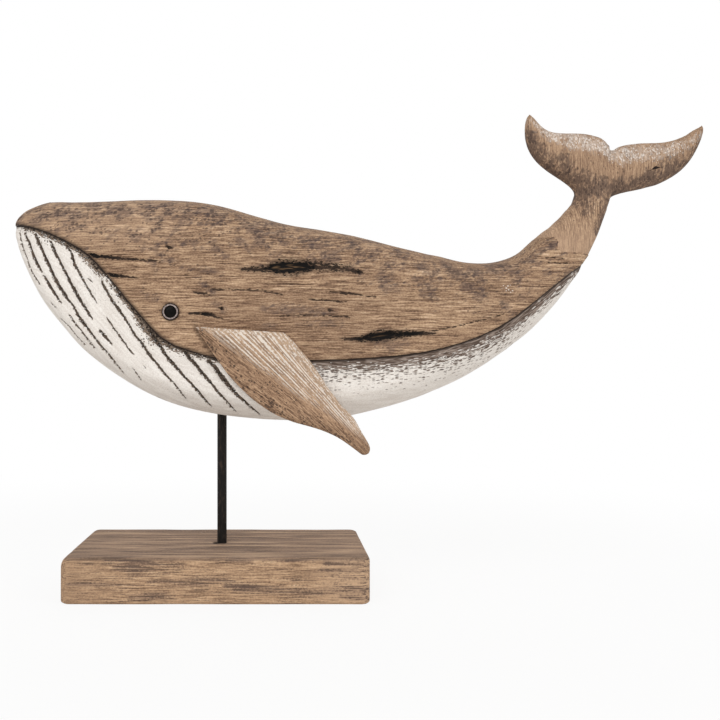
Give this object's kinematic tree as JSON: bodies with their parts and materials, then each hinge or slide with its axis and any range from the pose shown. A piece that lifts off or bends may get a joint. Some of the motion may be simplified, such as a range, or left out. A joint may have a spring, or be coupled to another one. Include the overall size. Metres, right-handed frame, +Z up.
{
  "type": "whale figurine",
  "caption": "Carved timber whale with side fins and raised flukes, turning on one thin rod above a rectangular plank base.",
  "frame": {"origin": "on the base's underside, on the axis of the support rod", "axes": "+X from the whale's nose to its tail, +Y across the body to its right side, +Z up along the rod"},
  "size_m": [0.4385, 0.1208, 0.3016],
  "materials": {
    "base_wood": "weathered plank with dark grain streaks, unvarnished",
    "rod_metal": "black satin paint on steel",
    "body_wood": "reclaimed brown timber above the jaw line, worn off-white paint below it",
    "tail_wood": "reclaimed brown timber with upright grain and a thin white wash on the flukes",
    "fin_wood": "brown timber with a dry-brushed white wash along the grain",
    "dowel_wood": "plain turned peg",
    "eye_metal": "aged grey metal",
    "eye_black": "black, slightly shiny"
  },
  "bodies": {
    "stand": {"base_block": "base_wood", "support_rod": "rod_metal"},
    "whale": {"body_block": "body_wood", "tail_block": "tail_wood", "tail_dowels": "dowel_wood", "left_fin": "fin_wood", "right_fin": "fin_wood", "left_fin_dowels": "dowel_wood", "right_fin_dowels": "dowel_wood", "left_eye_ring": "eye_metal", "right_eye_ring": "eye_metal", "left_pupil": "eye_black", "right_pupil": "eye_black"}
  },
  "joints": [
    {"name": "whale_swivel", "type": "hinge", "parent": "stand", "child": "whale", "pos_m": [0, 0, 0.12], "axis": [0, 0, 1], "continuous": true}
  ]
}
